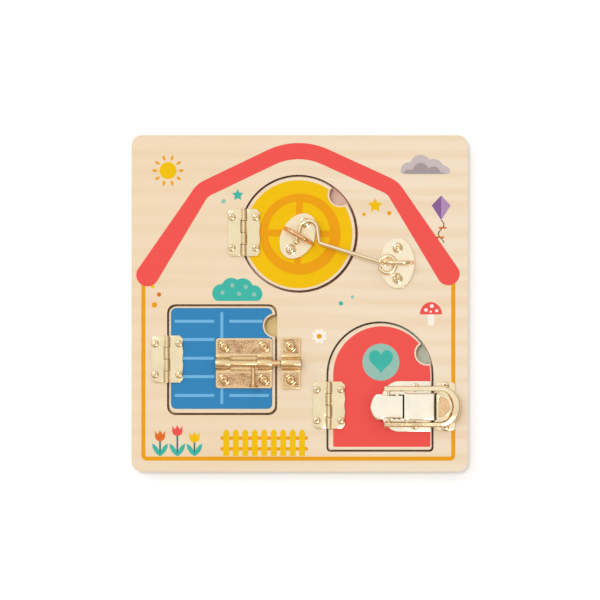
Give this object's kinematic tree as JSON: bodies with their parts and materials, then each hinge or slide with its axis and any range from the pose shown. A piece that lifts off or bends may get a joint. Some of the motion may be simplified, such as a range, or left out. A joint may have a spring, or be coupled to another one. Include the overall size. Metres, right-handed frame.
{
  "type": "latch board",
  "caption": "Square wooden toy panel with a round, a square and an arched door, each on a hinge and held by its own latch: hook and eye, barrel bolt, toggle latch.",
  "frame": {"origin": "centre of the back face of the board", "axes": "+Z out of the face that carries the doors, +Y towards the board's top edge, above the round door"},
  "size_m": [0.22, 0.22, 0.0259],
  "materials": {
    "plywood": "pale plywood, satin",
    "yellow_paint": "plywood, yellow print",
    "blue_paint": "plywood, blue print",
    "red_paint": "plywood, red print",
    "pale_brass": "bright pale brass",
    "brass": "satin brass"
  },
  "bodies": {
    "board": {"back_panel": "plywood", "front_panel": "plywood", "yellow_hinge_frame_leaf": "pale_brass", "yellow_hinge_pin": "pale_brass", "yellow_hinge_frame_screw_1": "pale_brass", "yellow_hinge_frame_screw_2": "pale_brass", "blue_hinge_frame_leaf": "pale_brass", "blue_hinge_pin": "pale_brass", "blue_hinge_frame_screw_1": "pale_brass", "blue_hinge_frame_screw_2": "pale_brass", "red_hinge_frame_leaf": "pale_brass", "red_hinge_pin": "pale_brass", "red_hinge_frame_screw_1": "pale_brass", "red_hinge_frame_screw_2": "pale_brass", "hook_frame_plate": "pale_brass", "hook_frame_staple": "pale_brass", "hook_frame_screw_1": "pale_brass", "hook_frame_screw_2": "pale_brass", "bolt_keeper": "brass", "keeper_screw_1": "brass", "keeper_screw_2": "brass", "catch_plate": "pale_brass", "catch_screw_1": "pale_brass", "catch_screw_2": "pale_brass"},
    "yellow_door": {"yellow_door": "yellow_paint", "yellow_hinge_door_leaf": "pale_brass", "yellow_hinge_door_screw_1": "pale_brass", "yellow_hinge_door_screw_2": "pale_brass", "hook_door_plate": "pale_brass", "hook_door_staple": "pale_brass", "hook_door_screw_1": "pale_brass", "hook_door_screw_2": "pale_brass"},
    "hook": {"hook": "pale_brass"},
    "blue_door": {"blue_door": "blue_paint", "blue_hinge_door_leaf": "pale_brass", "blue_hinge_door_screw_1": "pale_brass", "blue_hinge_door_screw_2": "pale_brass", "bolt_base": "brass", "bolt_screw_1": "brass", "bolt_screw_2": "brass", "bolt_screw_3": "brass", "bolt_screw_4": "brass"},
    "bolt_rod": {"bolt_rod": "brass"},
    "bolt_knob": {"bolt_knob": "brass"},
    "red_door": {"red_door": "red_paint", "red_hinge_door_leaf": "pale_brass", "red_hinge_door_screw_1": "pale_brass", "red_hinge_door_screw_2": "pale_brass", "toggle_base": "pale_brass", "toggle_lever_pin": "pale_brass", "toggle_screw_1": "pale_brass", "toggle_screw_2": "pale_brass"},
    "toggle_lever": {"toggle_lever": "pale_brass"},
    "toggle_bail": {"toggle_bail": "pale_brass"}
  },
  "joints": [
    {"name": "yellow_door_hinge", "type": "hinge", "parent": "board", "child": "yellow_door", "pos_m": [-0.0365, 0.0463, 0.014], "axis": [0, -1, 0], "range_deg": [0, 64]},
    {"name": "hook_swing", "type": "hinge", "parent": "board", "child": "hook", "pos_m": [0.0605, 0.0248, 0.0218], "axis": [0, 0.8073, -0.5902], "range_deg": [0, 138]},
    {"name": "blue_door_hinge", "type": "hinge", "parent": "board", "child": "blue_door", "pos_m": [-0.0867, -0.0364, 0.014], "axis": [0, -1, 0], "range_deg": [0, 165]},
    {"name": "bolt_slide", "type": "slide", "parent": "blue_door", "child": "bolt_rod", "axis": [-1, 0, 0], "range_m": [-0.0055, 0.0125]},
    {"name": "bolt_knob_turn", "type": "hinge", "parent": "bolt_rod", "child": "bolt_knob", "pos_m": [-0.0302, -0.0391, 0.017], "axis": [-1, 0, 0], "range_deg": [0, 180]},
    {"name": "red_door_hinge", "type": "hinge", "parent": "board", "child": "red_door", "pos_m": [0.0191, -0.0665, 0.014], "axis": [0, -1, 0], "range_deg": [0, 135]},
    {"name": "toggle_lever_turn", "type": "hinge", "parent": "red_door", "child": "toggle_lever", "pos_m": [0.0632, -0.0673, 0.0188], "axis": [0, 1, 0], "range_deg": [0, 112]},
    {"name": "toggle_bail_turn", "type": "hinge", "parent": "toggle_lever", "child": "toggle_bail", "pos_m": [0.058, -0.0673, 0.0175], "axis": [0, -1, 0], "range_deg": [0, 136]}
  ],
  "couplings": [
    {"joint": "hook_swing", "follows": "yellow_door_hinge", "ratio": 2.146},
    {"joint": "toggle_bail_turn", "follows": "toggle_lever_turn", "ratio": 1.2}
  ]
}
